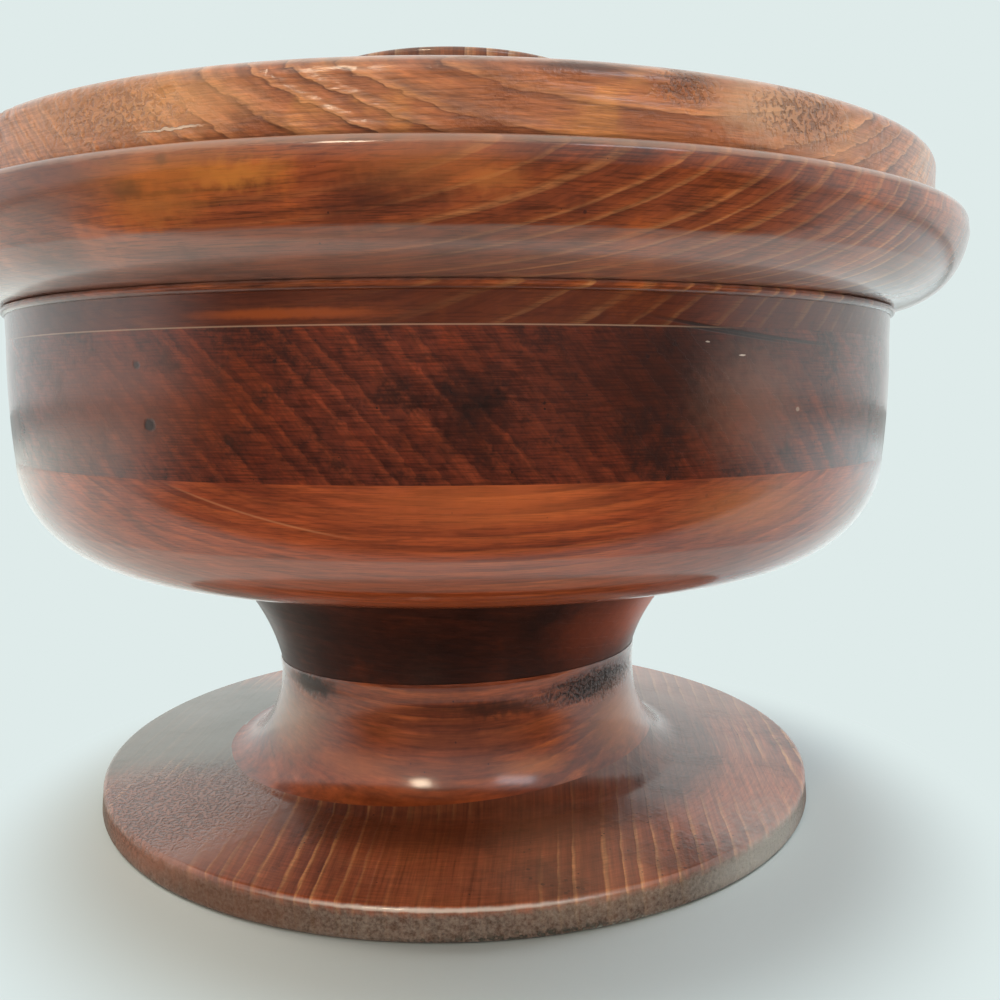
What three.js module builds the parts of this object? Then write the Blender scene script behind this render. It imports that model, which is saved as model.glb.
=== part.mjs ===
import * as THREE from 'three';

// A lidded bowl on a pedestal, turned from crossed boards of stained pine.
// Millimetres, +Z up, origin at the middle of the underside of the foot.
// Each board is one turned ring or disc, and the boards are glued face to face.

// Boards, from the table up
const footSeamHeight = 8; // glue line between the foot disc and the stem
const stemBoardThickness = 18.5;
const bowlBoardThickness = 19;

// Foot
const footDiameter = 134.8;
const footEdgeHeight = 5.2;
const footEdgeRounding = 0.9;
const footEdgeTaper = 0.3; // how far the edge leans in towards the top
const footHollowHeight = 6.4; // lowest level of the flare where it runs out into the foot

// Stem
const waistDiameter = 69;
const waistHeight = 23.4; // narrowest place of the stem
const flareWidth = 10.2; // how far the flare below the waist spreads
const waistLedge = 0.5; // step between the two stem boards
const stemTopDiameter = 92.8;
const stemTopBow = 3.4; // how far the upper stem is hollowed from a straight cone

// Dowel that joins the two halves of the pedestal
const dowelDiameter = 12;
const dowelLength = 28;
const dowelChamfer = 1;
const dowelEndGap = 1;
const glueGap = 0.15; // radial room for glue round dowel and screw

// Bowl
const bowlDiameter = 156.6;
const bowlBelly = 0.4; // how far the side swells between its ends
const bowlCornerWidth = 20.8;
const wallThickness = 8;
const floorThickness = 8;
const innerCornerWidth = 14;
const mouthEasing = 1;

// Rim
const rimDiameter = 179;
const rimSkirtHeight = 3.9; // plain band of the rim board below the bead
const rimBeadWidth = 1.3;
const rimBeadDepth = 0.7; // how proud the bead stands
const rimWidestHeight = 16; // level of the widest place above the rim's glue line
const rimMouldingRise = 1.1; // the moulding leaves the bead nearly level, with this rise
const rimMouldingLean = 1.3; // and leans in this far where it runs out at the top
const rimEdgeTaper = 0.2;
const rimEdgeRounding = 1.5;

// Lid
const lidDiameter = 168.4;
const lidFlangeThickness = 9.5;
const lidLowerRounding = 1.8;
const lidUpperRounding = 2.2;
const lidClearance = 0.75; // radial room of the spigot in the mouth
const spigotRounding = 1.5;

// Knob
const knobHeight = 19.5;
const knobDiameter = 54.2;
const knobEdgeHeight = 5.5; // upright band round the top of the knob
const knobEdgeRounding = 0.8;
const knobCrown = 0.6;
const knobNeckDiameter = 27;
const knobNeckHeight = 5.2;
const knobBaseDiameter = 37;
const knobBaseBand = 1.2;

// Screw that holds the knob from below
const screwDiameter = 4.2;
const screwHeadDiameter = 8.2;
const screwLength = 32;
const screwTipLength = 4;
const screwTipGap = 1;

const turnSteps = 60;

// Levels of the glue lines above the table
const waistSeam = footSeamHeight + stemBoardThickness;
const bowlUnderside = waistSeam + stemBoardThickness;
const wallSeam = bowlUnderside + bowlBoardThickness;
const rimSeam = wallSeam + bowlBoardThickness;
const rimTop = rimSeam + bowlBoardThickness;
const lidTop = rimTop + lidFlangeThickness;
const spigotDepth = bowlBoardThickness - lidFlangeThickness;

// Radii that several boards share
const footRadius = footDiameter / 2;
const waistRadius = waistDiameter / 2;
const stemTopRadius = stemTopDiameter / 2;
const bowlRadius = bowlDiameter / 2;
const innerRadius = bowlRadius - wallThickness;
const dowelRadius = dowelDiameter / 2;
const dowelBoreRadius = dowelRadius + glueGap;
const dowelBoreDepth = dowelLength / 2 + dowelEndGap;
const screwRadius = screwDiameter / 2;
const screwHeadRadius = screwHeadDiameter / 2;
const screwBoreRadius = screwRadius + glueGap;

const point = (radius, height) => new THREE.Vector2(radius, height);

// Points along part of an ellipse, from one angle to another in degrees
function arc(radius, height, width, rise, from, to, steps) {
  const start = THREE.MathUtils.degToRad(from);
  const end = THREE.MathUtils.degToRad(to);
  return new THREE.EllipseCurve(radius, height, width, rise, start, end, to < from).getPoints(steps);
}

// Points along a curve bent towards one control point
function bend(start, control, end, steps) {
  return new THREE.QuadraticBezierCurve(start, control, end).getPoints(steps);
}

// Turns a profile round the Z axis into a named piece that stands at the given level
function turned(name, level, profile, material) {
  const geometry = new THREE.LatheGeometry(profile, turnSteps);
  geometry.rotateX(Math.PI / 2);
  const mesh = new THREE.Mesh(geometry, material);
  mesh.name = name;
  mesh.position.z = level;
  return mesh;
}

function varnishedPine(color) {
  return new THREE.MeshStandardMaterial({ color, roughness: 0.25, metalness: 0 });
}

// The flare below the waist, cut at one height by the glue line, so that foot and stem share it
const flareRise = waistHeight - footHollowHeight;
const flareSeamAngle = 180 + THREE.MathUtils.radToDeg(Math.asin((waistHeight - footSeamHeight) / flareRise));

function flare(level, from, to, steps) {
  return arc(waistRadius + flareWidth, waistHeight - level, flareWidth, flareRise, from, to, steps);
}

// Foot disc: flat underside, thin rounded edge, and the run-out of the stem's flare
function footDisc() {
  const edgeRadius = footRadius - footEdgeTaper;
  const lowerEdge = footEdgeRounding;
  const upperEdge = footEdgeHeight - footEdgeRounding;
  return turned('foot_disc', 0, [
    point(0, 0),
    ...arc(footRadius - lowerEdge, lowerEdge, lowerEdge, lowerEdge, 270, 360, 2),
    ...arc(edgeRadius - footEdgeRounding, upperEdge, footEdgeRounding, footEdgeRounding, 0, 90, 3),
    ...flare(0, 270, flareSeamAngle, 4),
    point(0, footSeamHeight),
  ], varnishedPine(0x5a2413));
}

// Lower stem board: the flare up to the waist, bored from above for the dowel
function stemLower() {
  const top = stemBoardThickness;
  const seamRadius = waistRadius + waistLedge;
  return turned('stem_lower', footSeamHeight, [
    point(0, 0),
    ...flare(footSeamHeight, flareSeamAngle, 180, 7),
    point(seamRadius, top - waistLedge),
    point(seamRadius - waistLedge / 2, top),
    point(dowelBoreRadius, top),
    point(dowelBoreRadius, top - dowelBoreDepth),
    point(0, top - dowelBoreDepth),
  ], varnishedPine(0x8a3a1a));
}

// Upper stem board: spreads up to the bowl, bored from below for the dowel
function stemUpper() {
  const top = stemBoardThickness;
  const start = point(waistRadius, 0);
  const end = point(stemTopRadius, top);
  const control = point((start.x + end.x) / 2 - stemTopBow, top / 2);
  return turned('stem_upper', waistSeam, [
    point(0, dowelBoreDepth),
    point(dowelBoreRadius, dowelBoreDepth),
    point(dowelBoreRadius, 0),
    ...bend(start, control, end, 6),
    point(0, top),
  ], varnishedPine(0x3c1710));
}

// Dowel across the waist joint, glued into both stem boards
function stemDowel() {
  const narrow = dowelRadius - dowelChamfer;
  return turned('stem_dowel', waistSeam - dowelLength / 2, [
    point(0, 0),
    point(narrow, 0),
    point(dowelRadius, dowelChamfer),
    point(dowelRadius, dowelLength - dowelChamfer),
    point(narrow, dowelLength),
    point(0, dowelLength),
  ], new THREE.MeshStandardMaterial({ color: 0xc9a26b, roughness: 0.7, metalness: 0 }));
}

// Bottom board of the bowl: round outer corner, and the bowl's floor hollowed into it
function bowlBase() {
  const top = bowlBoardThickness;
  const hollow = top - floorThickness;
  return turned('bowl_base', bowlUnderside, [
    point(0, 0),
    ...arc(bowlRadius - bowlBelly - bowlCornerWidth, top, bowlCornerWidth, top, 270, 360, 9),
    ...arc(innerRadius - innerCornerWidth, top, innerCornerWidth, hollow, 360, 270, 6),
    point(0, floorThickness),
  ], varnishedPine(0x96451d));
}

// Middle board: the upright wall, swelling a little at half height
function bowlWall() {
  const top = bowlBoardThickness;
  const foot = point(bowlRadius - bowlBelly, 0);
  const head = point(bowlRadius, top);
  const control = point(bowlRadius + bowlBelly, top / 2);
  const outside = bend(foot, control, head, 4);
  return turned('bowl_wall', wallSeam, [
    ...outside,
    point(innerRadius, top),
    point(innerRadius, 0),
    foot,
  ], varnishedPine(0x451a12));
}

// Top board: plain skirt, small bead, and the heavy rounded moulding that stands out
function rimRing() {
  const top = bowlBoardThickness;
  const rimRadius = rimDiameter / 2;
  const beadMiddle = rimSkirtHeight + rimBeadWidth / 2;
  const beadTop = rimSkirtHeight + rimBeadWidth;
  const mouldingStart = point(bowlRadius, beadTop);
  const mouldingControl = point(rimRadius - rimMouldingLean, beadTop + rimMouldingRise);
  const roundingCentre = rimRadius - rimEdgeTaper - rimEdgeRounding;
  const easing = innerRadius + mouthEasing;
  return turned('rim_ring', rimSeam, [
    point(bowlRadius, 0),
    ...arc(bowlRadius, beadMiddle, rimBeadDepth, rimBeadWidth / 2, -90, 90, 4),
    ...bend(mouldingStart, mouldingControl, point(rimRadius, rimWidestHeight), 8).slice(1),
    ...arc(roundingCentre, top - rimEdgeRounding, rimEdgeRounding, rimEdgeRounding, 0, 90, 3),
    point(easing, top),
    point(innerRadius, top - mouthEasing),
    point(innerRadius, 0),
    point(bowlRadius, 0),
  ], varnishedPine(0x7a3517));
}

// Lid board: a flange that rests on the rim, a spigot that drops in, and a bore for the screw
function lidBoard() {
  const rest = spigotDepth;
  const top = bowlBoardThickness;
  const lidRadius = lidDiameter / 2;
  const spigotRadius = innerRadius - lidClearance;
  const spigotInset = spigotRadius - spigotRounding;
  const headDepth = screwHeadRadius - screwRadius;
  return turned('lid_board', rimTop - spigotDepth, [
    point(screwBoreRadius, headDepth),
    point(screwBoreRadius + headDepth, 0),
    ...arc(spigotInset, spigotRounding, spigotRounding, spigotRounding, 270, 360, 2),
    point(spigotRadius, rest),
    ...arc(lidRadius - lidLowerRounding, rest + lidLowerRounding, lidLowerRounding, lidLowerRounding, 270, 360, 4),
    ...arc(lidRadius - lidUpperRounding, top - lidUpperRounding, lidUpperRounding, lidUpperRounding, 0, 90, 4),
    point(screwBoreRadius, top),
    point(screwBoreRadius, headDepth),
  ], varnishedPine(0x8c441f));
}

// Knob: wide flat-topped head on a waisted neck, with a pilot hole for the screw
function lidKnob() {
  const knobRadius = knobDiameter / 2;
  const neckRadius = knobNeckDiameter / 2;
  const baseRadius = knobBaseDiameter / 2;
  const underHead = knobHeight - knobCrown - knobEdgeHeight;
  const crownStart = knobHeight - knobCrown;
  const pilotDepth = screwLength - bowlBoardThickness + screwTipGap;
  const headCentre = knobRadius - knobEdgeRounding;
  return turned('lid_knob', lidTop, [
    point(0, pilotDepth),
    point(screwBoreRadius, pilotDepth - screwTipLength),
    point(screwBoreRadius, 0),
    point(baseRadius, 0),
    ...arc(baseRadius, knobNeckHeight, baseRadius - neckRadius, knobNeckHeight - knobBaseBand, 270, 180, 4),
    ...arc(knobRadius, knobNeckHeight, knobRadius - neckRadius, underHead - knobNeckHeight, 180, 90, 5).slice(1),
    ...arc(headCentre, crownStart - knobEdgeRounding, knobEdgeRounding, knobEdgeRounding, 0, 90, 2),
    point(headCentre / 2, knobHeight - knobCrown / 4),
    point(0, knobHeight),
  ], varnishedPine(0x8a4520));
}

// Countersunk wood screw up through the lid into the knob
function knobScrew() {
  const headDepth = screwHeadRadius - screwRadius;
  const shoulder = screwLength - screwTipLength;
  return turned('knob_screw', rimTop - spigotDepth, [
    point(0, 0),
    point(screwHeadRadius - glueGap, 0),
    point(screwRadius, headDepth - glueGap),
    point(screwRadius, shoulder),
    point(0, screwLength),
  ], new THREE.MeshStandardMaterial({ color: 0xb08d4a, roughness: 0.35, metalness: 1 }));
}

const bowl = new THREE.Group();
bowl.add(footDisc(), stemLower(), stemUpper(), stemDowel(), bowlBase(), bowlWall(), rimRing());

const lid = new THREE.Group();
lid.add(lidBoard(), lidKnob(), knobScrew());

const liddedBowl = new THREE.Group();
liddedBowl.add(bowl, lid);

export default liddedBowl;
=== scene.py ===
import bpy
import math
from functools import partial
from mathutils import Matrix, Vector


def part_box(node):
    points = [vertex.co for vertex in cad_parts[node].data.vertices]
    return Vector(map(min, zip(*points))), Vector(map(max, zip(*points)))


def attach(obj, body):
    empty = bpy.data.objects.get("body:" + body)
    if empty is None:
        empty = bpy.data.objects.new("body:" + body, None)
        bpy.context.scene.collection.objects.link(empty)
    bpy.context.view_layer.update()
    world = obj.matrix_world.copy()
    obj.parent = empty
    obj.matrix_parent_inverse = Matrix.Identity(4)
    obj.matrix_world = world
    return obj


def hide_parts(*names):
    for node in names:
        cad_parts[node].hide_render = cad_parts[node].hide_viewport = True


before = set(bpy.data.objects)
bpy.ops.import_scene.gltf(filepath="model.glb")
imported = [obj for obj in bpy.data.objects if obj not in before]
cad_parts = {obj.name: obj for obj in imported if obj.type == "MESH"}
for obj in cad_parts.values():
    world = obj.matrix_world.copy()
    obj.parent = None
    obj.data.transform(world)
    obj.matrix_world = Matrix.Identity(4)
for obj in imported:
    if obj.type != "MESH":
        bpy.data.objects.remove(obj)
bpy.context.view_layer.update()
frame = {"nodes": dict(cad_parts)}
print("frame loaded:", ", ".join(frame["nodes"]))

# A lidded bowl on a pedestal, turned from crossed boards of stained pine and brushed with gloss varnish.
# Sizes, outlines and patterns are written in millimetres, and the side seen in the photograph faces -Y.
mm = 0.001


def linear(colour):  # "#rrggbb" as seen on a screen, to the linear values that a shader takes
    values = [int(colour[i:i + 2], 16) / 255 for i in (1, 3, 5)]
    return [v / 12.92 if v <= 0.04045 else ((v + 0.055) / 1.055) ** 2.4 for v in values] + [1.0]


# The setting that a node's kind may name after a space, as in "Math ADD"
modes = {
    "Math": "operation", "VectorMath": "operation", "MapRange": "interpolation_type", "Mix": "data_type",
    "Mapping": "vector_type", "VectorRotate": "rotation_type", "TexNoise": "noise_dimensions",
    "Compare": "operation", "SetShadeSmooth": "domain",
}


# Adds one node, its kind written without the type's first word. Its inputs are a list, for the sockets that
# it shows, or a dictionary by name, and a node among them stands for the first output that it shows.
# A noise lists vector, scale, detail and roughness, and in 4D its seed after the vector.
def addNode(tree, kind, inputs=(), **settings):
    kind, _, mode = kind.partition(" ")
    if mode:
        settings[modes[kind]] = mode
    prefixes = ("GeometryNode", "ShaderNode", "FunctionNode", "")
    node = tree.nodes.new(next(p + kind for p in prefixes if hasattr(bpy.types, p + kind)))
    for name, value in settings.items():
        setattr(node, name, value)
    if isinstance(inputs, dict):
        pairs = [(node.inputs[name], value) for name, value in inputs.items()]
    else:
        pairs = zip([socket for socket in node.inputs if socket.enabled], inputs)
    for socket, value in pairs:
        if isinstance(value, str) and value.startswith("#"):
            value = linear(value)
        if isinstance(value, bpy.types.Node):
            value = next(output for output in value.outputs if output.enabled)
        if isinstance(value, bpy.types.NodeSocket):
            tree.links.new(value, socket)
        else:
            socket.default_value = value
    return node


def emptied(block):  # a material or world without nodes, and what adds nodes to it
    block.use_nodes = True
    block.node_tree.nodes.clear()
    return block, partial(addNode, block.node_tree)


# Camera
cameraView = {
    "place": (0, -196, 75.87), "pitchDown": 6.57, "yawRight": 2.47, "roll": 0.18,
    "lens": 36, "sensor": 36,
}


def makeCamera():
    data = bpy.data.cameras.new("camera")
    data.lens = cameraView["lens"]
    data.sensor_width = cameraView["sensor"]
    data.clip_start = 0.01
    camera = bpy.data.objects.new("camera", data)
    yaw = Matrix.Rotation(math.radians(-cameraView["yawRight"]), 4, "Z")
    pitch = Matrix.Rotation(math.radians(90 - cameraView["pitchDown"]), 4, "X")
    roll = Matrix.Rotation(math.radians(-cameraView["roll"]), 4, "Z")
    camera.matrix_world = Matrix.Translation(Vector(cameraView["place"]) * mm) @ yaw @ pitch @ roll
    bpy.context.scene.collection.objects.link(camera)
    bpy.context.scene.camera = camera


makeCamera()
print("camera placed")

# Room: pale floor and surroundings, darker in front, and soft lamps
room = {
    "background": "#dfebea",
    "floor": "#ccd4d2",
    "floorRadius": 2500,
    "floorSides": 96,
    "fadeMiddle": (5, -16, 0),  # the floor turns into the background between two distances from here
    "fadeStart": 62,
    "fadeEnd": 92,
    "paleEdge": 88,  # what the varnish mirrors gets dark this far in front of the bowl
    "paleSoftness": 10,
    "darkSide": "#38322f",
    "paleSide": "#e6edec",
    "ambient": 0.55,  # strength of the surroundings as light
    "mirrored": 1.06,  # and as what the varnish mirrors
    "floorMirrored": 0.22,  # added to the floor in the varnish only
    "lamps": [  # name, place, size, power, colour, and whether the varnish mirrors it
        ("window lamp", (-262, -616, 640), (120, 120), 1.05, "#ffeacc", True),
        ("second window lamp", (430, -590, 600), (300, 130), 0.45, "#eef4ff", True),
        ("sky lamp", (60, 260, 900), (500, 500), 2.2, "#f4f8ff", False),
        ("front lamp", (0, -1100, 90), (1700, 160), 6.8, "#fff8f0", False),
        ("left lamp", (-650, 340, 620), (400, 400), 5.8, "#fff6ea", False),
        ("right lamp", (650, 340, 620), (400, 400), 5.4, "#eef6ff", False),
    ],
}


def makeRoom():
    scene = bpy.context.scene
    scene.view_settings.view_transform = "Standard"

    scene.world, add = emptied(bpy.data.worlds.new("pale room"))
    direction = add("TexCoord").outputs
    split = add("SeparateXYZ", [direction["Generated"]]).outputs
    rays = add("LightPath").outputs
    begins = add("Math MULTIPLY_ADD", [rays["Is Glossy Ray"], -0.25, 0.1])  # further forward when mirrored
    ends = add("Math MULTIPLY_ADD", [rays["Is Glossy Ray"], -0.25, -0.4])
    front = add("MapRange SMOOTHSTEP", [split["Y"], begins, ends])
    ceiling = add("Math MULTIPLY_ADD", [rays["Is Glossy Ray"], -0.5, 1])  # dark only below this height
    ground = add("Math SUBTRACT", [ceiling, 0.4])
    low = add("MapRange SMOOTHSTEP", [split["Z"], ceiling, ground])
    dark = add("Math MULTIPLY", [front, low])
    around = add("Mix RGBA", [dark, room["paleSide"], room["darkSide"]])
    seen = add("Mix RGBA", [rays["Is Camera Ray"], around, room["background"]])
    asSeen = add("Math MULTIPLY_ADD", [rays["Is Camera Ray"], 1 - room["ambient"], room["ambient"]])
    extra = room["mirrored"] - room["ambient"]
    strength = add("Math MULTIPLY_ADD", [rays["Is Glossy Ray"], extra, asSeen])
    shine = add("Background", [seen, strength])
    add("OutputWorld", [shine])

    radius = room["floorRadius"] * mm
    sides = range(room["floorSides"])
    turns = [2 * math.pi * i / len(sides) for i in sides]
    mesh = bpy.data.meshes.new("floor")
    mesh.from_pydata([(radius * math.cos(t), radius * math.sin(t), 0) for t in turns], [], [list(sides)])
    floor = bpy.data.objects.new("floor", mesh)
    scene.collection.objects.link(floor)

    material, add = emptied(bpy.data.materials.new("plain pale paper, matt"))
    place = add("TexCoord").outputs
    split = add("SeparateXYZ", [place["Object"]]).outputs
    distance = add("VectorMath DISTANCE", [place["Object"], Vector(room["fadeMiddle"]) * mm])
    far = add("MapRange SMOOTHSTEP", [distance, room["fadeStart"] * mm, room["fadeEnd"] * mm])
    rays = add("LightPath").outputs
    fade = add("Math MULTIPLY", [far, rays["Is Camera Ray"]])
    paper = add("BsdfDiffuse", {"Color": room["floor"]})
    background = add("Emission", {"Color": room["background"]})
    seen = add("MixShader", [fade, paper, background])
    glow = add("Math MULTIPLY", [rays["Is Glossy Ray"], room["floorMirrored"]])
    bright = add("Emission", {"Color": room["paleSide"], "Strength": glow})
    lit = add("AddShader", [seen, bright])
    edge, soft = room["paleEdge"] * mm, room["paleSoftness"] * mm
    beyond = add("MapRange", [split["Y"], -edge, -edge - soft])
    outward = add("VectorMath NORMALIZE", [place["Object"]])
    heading = add("SeparateXYZ", [outward]).outputs
    front = add("MapRange SMOOTHSTEP", [heading["Y"], -0.1, -0.6])
    shaded = add("Math MULTIPLY", [beyond, front])
    mirrored = add("Math MULTIPLY", [shaded, rays["Is Glossy Ray"]])
    shade = add("Emission", {"Color": room["darkSide"]})
    surface = add("MixShader", [mirrored, lit, shade])
    add("OutputMaterial", [surface])
    mesh.materials.append(material)

    for name, place, (wide, high), power, colour, mirrored in room["lamps"]:
        data = bpy.data.lights.new(name, "AREA")
        data.shape = "RECTANGLE"
        data.size = wide * mm
        data.size_y = high * mm
        data.energy = power
        data.color = linear(colour)[:3]
        light = bpy.data.objects.new(name, data)
        light.visible_glossy = mirrored
        light.location = Vector(place) * mm
        aim = Vector((0, 0, 50)) * mm - light.location
        light.rotation_euler = aim.to_track_quat("-Z", "Y").to_euler()
        scene.collection.objects.link(light)


makeRoom()
print("room made")


# Outlines: lists of (radius, height, relief), up the outside from the middle of the underside to the axis
def arc(radius, height, width, rise, start, end, steps=14):
    angles = [math.radians(start + (end - start) * i / steps) for i in range(steps + 1)]
    return [(radius + width * math.cos(a), height + rise * math.sin(a)) for a in angles]


def quarter(edge, level, size, start, steps):  # a rounded corner at this radius and level
    return arc(edge - size, level + (size if start == 270 else -size), size, size, start, start + 90, steps)


def bend(start, control, end, steps=24):
    points = []
    for i in range(steps + 1):
        t = i / steps
        weights = ((1 - t) ** 2, 2 * t * (1 - t), t * t)
        points.append(tuple(sum(w * p[k] for w, p in zip(weights, (start, control, end))) for k in (0, 1)))
    return points


def face(points, relief=1.0, spacing=9, corner=0.12):  # one turned face, with long stretches divided
    result = [points[0] + (relief,)]
    for a, b in zip(points, points[1:]):
        length = math.dist(a, b)
        if length > 1.5 * spacing:
            inner = max(1, round(length / spacing))
            cuts = [corner / length] + [i / inner for i in range(1, inner)] + [1 - corner / length]
            result += [(a[0] + (b[0] - a[0]) * c, a[1] + (b[1] - a[1]) * c, relief) for c in cuts]
        result.append(b + (relief,))
    return result


def joined(*faces):  # the faces of one outline, each starting where the last one ended
    result = list(faces[0])
    for points in faces[1:]:
        start = 1 if math.dist(result[-1][:2], points[0][:2]) < 1e-6 else 0
        result += points[start:]
    return result


crispBend = 28  # degrees; edges of the boards that bend more than this stay crisp


def newTree(name, inputs):  # a tree of Geometry Nodes, and what adds nodes to it
    tree = bpy.data.node_groups.new(name, "GeometryNodeTree")
    for label, kind, value in inputs:
        socket = tree.interface.new_socket(name=label, in_out="INPUT", socket_type="NodeSocket" + kind)
        if value is not None:
            socket.default_value = value
    tree.interface.new_socket(name="Piece", in_out="OUTPUT", socket_type="NodeSocketGeometry")
    return tree, partial(addNode, tree)


def finishTree(add, geometry, bend, material):
    bends = add("InputMeshEdgeAngle").outputs["Unsigned Angle"]
    crisp = add("Compare GREATER_THAN", [bends, math.radians(bend)])
    edges = add("SetShadeSmooth EDGE", [geometry, crisp, False])
    real = add("RealizeInstances", [edges])
    dressed = add("SetMaterial", {"Geometry": real, "Material": material})
    add("NodeGroupOutput", [dressed])


# Geometry Nodes: turn an outline round the Z axis, let its seams lean, and work the surface by hand
def makeTurningTree():
    tree, add = newTree("turn a board", [
        ("Outline", "Geometry", None), ("Steps", "Int", 480), ("First Lean Turn", "Float", 0.0),
        ("Second Lean Turn", "Float", 0.0), ("Wave Depth", "Float", 0.00004), ("Wave Size", "Float", 0.014),
        ("Tear Depth", "Float", 0.0), ("Tear Size", "Float", 0.0012), ("Grain Turn", "Float", 0.0),
        ("Seed", "Float", 1.0), ("Material", "Material", None)])
    values = add("NodeGroupInput").outputs
    position = add("InputPosition")
    count = add("AttributeDomainSize", [values["Outline"]]).outputs["Point Count"]
    columns = add("Math ADD", [values["Steps"], 1])
    grid = add("MeshGrid", {"Vertices X": columns, "Vertices Y": count})
    index = add("InputIndex")
    row = add("Math MODULO", [index, count])
    whole = add("Math DIVIDE", [index, count])
    column = add("Math FLOOR", [whole])
    share = add("Math DIVIDE", [column, values["Steps"]])
    angle = add("Math MULTIPLY", [share, 2 * math.pi])

    samples = {}
    for name in ("position", "leanA", "leanAA", "leanB", "relief"):
        kind = "FLOAT" if name == "relief" else "FLOAT_VECTOR"
        source = position
        if name != "position":
            source = add("InputNamedAttribute", [name], data_type=kind)
        samples[name] = add("SampleIndex", [values["Outline"], source, row], data_type=kind)

    place = samples["position"]
    for lean, turn, squared in (
        ("leanA", "First Lean Turn", False),
        ("leanAA", "First Lean Turn", True),
        ("leanB", "Second Lean Turn", False),
    ):
        offset = add("Math SUBTRACT", [angle, values[turn]])
        amount = add("Math COSINE", [offset])
        if squared:
            amount = add("Math MULTIPLY", [amount, amount])
        moved = add("VectorMath SCALE", [samples[lean], amount])
        place = add("VectorMath ADD", [place, moved])

    turned = add("VectorRotate Z_AXIS", {"Vector": place, "Angle": angle})
    shaped = add("SetPosition", {"Geometry": grid, "Position": turned})
    marked = add("StoreNamedAttribute", {
        "Geometry": shaped, "Name": "relief", "Value": samples["relief"]})
    closed = add("MergeByDistance", {"Geometry": marked, "Distance": 0.001 * mm})

    relief = add("InputNamedAttribute", ["relief"])
    normal = add("InputNormal")
    waveScale = add("Math DIVIDE", [1, values["Wave Size"]])
    waves = add("TexNoise 4D", [position, values["Seed"], waveScale, 1])
    wave = add("Math ADD", [waves, -0.5])
    waveOut = add("Math MULTIPLY", [wave, values["Wave Depth"]])

    grainTurn = add("VectorRotate Z_AXIS", {"Vector": normal, "Angle": values["Grain Turn"]}, invert=True)
    against = add("SeparateXYZ", [grainTurn]).outputs
    across = add("Math ABSOLUTE", [against["X"]])
    tearZone = add("MapRange SMOOTHSTEP", [across, 0.1, 0.4])
    patches = add("TexNoise 4D", [position, values["Seed"], 90, 2])
    patchy = add("MapRange SMOOTHSTEP", [patches, 0.5, 0.62])
    tearScale = add("Math DIVIDE", [1, values["Tear Size"]])
    tears = add("TexNoise 4D", [position, values["Seed"], tearScale, 3])
    torn = add("MapRange", [tears, 0.45, 0.75])
    for share in (patchy, tearZone, values["Tear Depth"]):
        torn = add("Math MULTIPLY", [torn, share])
    depth = add("Math SUBTRACT", [waveOut, torn])
    worked = add("Math MULTIPLY", [depth, relief])
    push = add("VectorMath SCALE", [normal, worked])
    finished = add("SetPosition", {"Geometry": closed, "Offset": push})

    cleaned = add("RemoveAttribute", {"Geometry": finished, "Name": "relief"})
    smooth = add("SetShadeSmooth FACE", [cleaned])
    finishTree(add, smooth, crispBend, values["Material"])
    return tree


turningTree = makeTurningTree()


def grow(name, mesh, tree, values):  # runs a tree on a mesh and keeps the result as a plain mesh
    piece = bpy.data.objects.new(name, mesh)
    bpy.context.scene.collection.objects.link(piece)
    modifier = piece.modifiers.new("grow", "NODES")
    modifier.node_group = tree
    for item in tree.interface.items_tree:
        if item.in_out == "INPUT" and item.name in values:
            modifier[item.identifier] = values[item.name]
    piece.update_tag()
    result = bpy.data.meshes.new_from_object(piece.evaluated_get(bpy.context.evaluated_depsgraph_get()))
    piece.modifiers.remove(modifier)
    piece.data = result
    result.name = name
    bpy.data.meshes.remove(mesh)
    return piece


# Turns one piece. Its outlines are one list, or three where a seam leans: lowest, middle and highest
def turnPiece(name, outlines, material, **values):
    if isinstance(outlines[0], tuple):
        outlines = [outlines] * 3
    down, level, up = [[Vector((r, 0, z)) * mm for r, z, *rest in outline] for outline in outlines]
    mesh = bpy.data.meshes.new(name + " outline")
    mesh.from_pydata(level, [(i, i + 1) for i in range(len(level) - 1)], [])
    vectors = {
        "leanA": [(u - d) / 2 for u, d in zip(up, down)],
        "leanAA": [(u + d) / 2 - m for u, m, d in zip(up, level, down)],
        "leanB": [Vector(p[3] if len(p) > 3 else (0, 0, 0)) * mm for p in outlines[1]],
    }
    for key, rows in vectors.items():
        attribute = mesh.attributes.new(key, "FLOAT_VECTOR", "POINT")
        attribute.data.foreach_set("vector", [v for row in rows for v in row])
    attribute = mesh.attributes.new("relief", "FLOAT", "POINT")
    attribute.data.foreach_set("value", [p[2] for p in outlines[1]])
    values["Material"] = material
    piece = grow(name, mesh, turningTree, values)
    print(name, "turned:", len(piece.data.polygons), "faces")
    return piece


# Millimetres and shares that hold for a wood unless it says otherwise. The rows of its lists are:
# bands: "radius" or "height", start, end, softness, raggedness, colour, amount
# marks: middle, (width, height), colour, amount, raggedness, core; then any depth, bareness and speckling
# scratches: start, length, height, slope, bow, width, fade, colour, amount; then any depth
usualWood = {
    "wander": 7, "fray": 0.45, "faintest": 0.85, "strongest": 0.15, "plainSoftness": 18, "fibres": 1.5,
    "fibreDark": 0.6, "fibreLight": 1.25, "latheFine": 3.2, "latheFrom": 0.3, "latheTo": 0.7,
    "latheDark": 0.7, "latheLight": 1.15, "endAmount": 0.7, "cloudSize": 16, "mottle": 0.62,
    "darkAmount": 0.6, "paleAmount": 0.4, "pitGap": 2.6, "pitSize": 0.12, "tornDepth": 0.04,
    "ringDepth": 0.012, "latheDepth": 0.022, "varnish": 1, "coatBump": 0.2, "gloss": 0.13, "bands": [],
    "marks": [], "scratches": [],
}


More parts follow.
